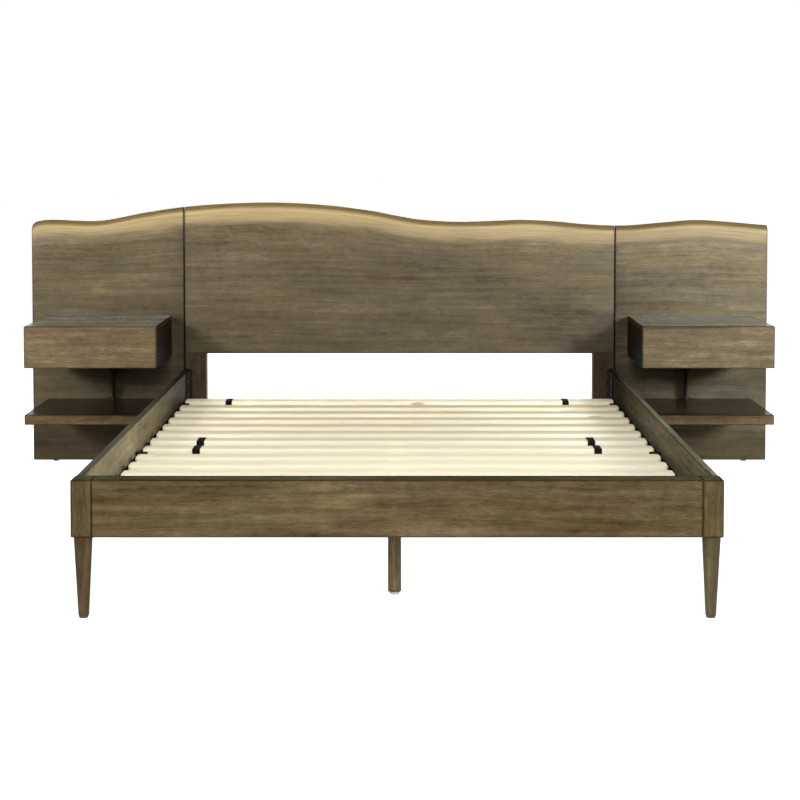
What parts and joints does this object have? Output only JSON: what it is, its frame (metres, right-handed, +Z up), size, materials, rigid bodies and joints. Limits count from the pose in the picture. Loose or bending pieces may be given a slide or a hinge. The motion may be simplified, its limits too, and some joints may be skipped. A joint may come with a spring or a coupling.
{
  "type": "bed with attached nightstands",
  "caption": "Wooden slatted bed whose wide live-edge headboard carries a drawer box and an open shelf on each side.",
  "frame": {"origin": "on the floor, under the middle of the bed's outline", "axes": "+X to the right seen from the foot end, along the headboard; +Y from the foot towards the headboard; +Z up"},
  "size_m": [2.725, 2.16, 0.9632],
  "materials": {
    "slab_wood": "satin",
    "frame_wood": "satin",
    "pine": "satin",
    "black_steel": "satin",
    "bright_steel": "satin",
    "black_plastic": "matte",
    "white_nylon": "matte",
    "webbing": "matte"
  },
  "bodies": {
    "root": {"centre_panel": "slab_wood", "left_wing": "slab_wood", "right_wing": "slab_wood", "left_headboard_leg": "frame_wood", "right_headboard_leg": "frame_wood", "wing_stiles": "frame_wood", "panel_battens": "frame_wood", "foot_rail": "frame_wood", "left_foot_post": "frame_wood", "right_foot_post": "frame_wood", "left_foot_leg": "frame_wood", "right_foot_leg": "frame_wood", "left_rail": "frame_wood", "right_rail": "frame_wood", "left_ledger": "frame_wood", "right_ledger": "frame_wood", "support_legs": "frame_wood", "centre_beam": "pine", "head_slats": "pine", "foot_slats": "pine", "headboard_bolts": "black_steel", "floor_glides": "black_plastic", "slat_stops": "black_plastic", "dowels_and_studs": "bright_steel", "ledger_screws": "bright_steel", "bracket_screws": "bright_steel", "foot_corner_brackets": "black_steel", "head_hook_plates": "black_steel", "beam_hanger": "black_steel", "nightstand_bolts": "black_steel", "slat_straps": "webbing", "left_case_top": "frame_wood", "left_case_bottom": "frame_wood", "left_case_sides": "frame_wood", "left_case_back": "frame_wood", "left_shelf": "frame_wood", "left_runner_outer": "bright_steel", "left_shelf_hanger": "black_steel", "right_case_top": "frame_wood", "right_case_bottom": "frame_wood", "right_case_sides": "frame_wood", "right_case_back": "frame_wood", "right_shelf": "frame_wood", "right_runner_outer": "bright_steel", "right_shelf_hanger": "black_steel"},
    "left_drawer": {"left_drawer_front": "frame_wood", "left_drawer_sides": "pine", "left_drawer_ends": "pine", "left_drawer_bottom": "pine", "left_runner_inner": "bright_steel"},
    "left_middle_runner": {"left_runner_middle": "bright_steel"},
    "right_drawer": {"right_drawer_front": "frame_wood", "right_drawer_sides": "pine", "right_drawer_ends": "pine", "right_drawer_bottom": "pine", "right_runner_inner": "bright_steel"},
    "right_middle_runner": {"right_runner_middle": "bright_steel"},
    "front_leveller": {"leveller_front": "white_nylon"},
    "middle_leveller": {"leveller_middle": "white_nylon"},
    "rear_leveller": {"leveller_rear": "white_nylon"}
  },
  "joints": [
    {"name": "left_drawer_slide", "type": "slide", "parent": "root", "child": "left_drawer", "axis": [0, -1, 0], "range_m": [0, 0.28]},
    {"name": "left_runner_slide", "type": "slide", "parent": "root", "child": "left_middle_runner", "axis": [0, -1, 0], "range_m": [0, 0.14]},
    {"name": "right_drawer_slide", "type": "slide", "parent": "root", "child": "right_drawer", "axis": [0, -1, 0], "range_m": [0, 0.28]},
    {"name": "right_runner_slide", "type": "slide", "parent": "root", "child": "right_middle_runner", "axis": [0, -1, 0], "range_m": [0, 0.14]},
    {"name": "front_leveller_screw", "type": "slide", "parent": "root", "child": "front_leveller", "axis": [0, 0, -1], "range_m": [0, 0.012]},
    {"name": "middle_leveller_screw", "type": "slide", "parent": "root", "child": "middle_leveller", "axis": [0, 0, -1], "range_m": [0, 0.012]},
    {"name": "rear_leveller_screw", "type": "slide", "parent": "root", "child": "rear_leveller", "axis": [0, 0, -1], "range_m": [0, 0.012]}
  ],
  "couplings": [
    {"joint": "left_runner_slide", "follows": "left_drawer_slide", "ratio": 0.5},
    {"joint": "right_runner_slide", "follows": "right_drawer_slide", "ratio": 0.5}
  ]
}
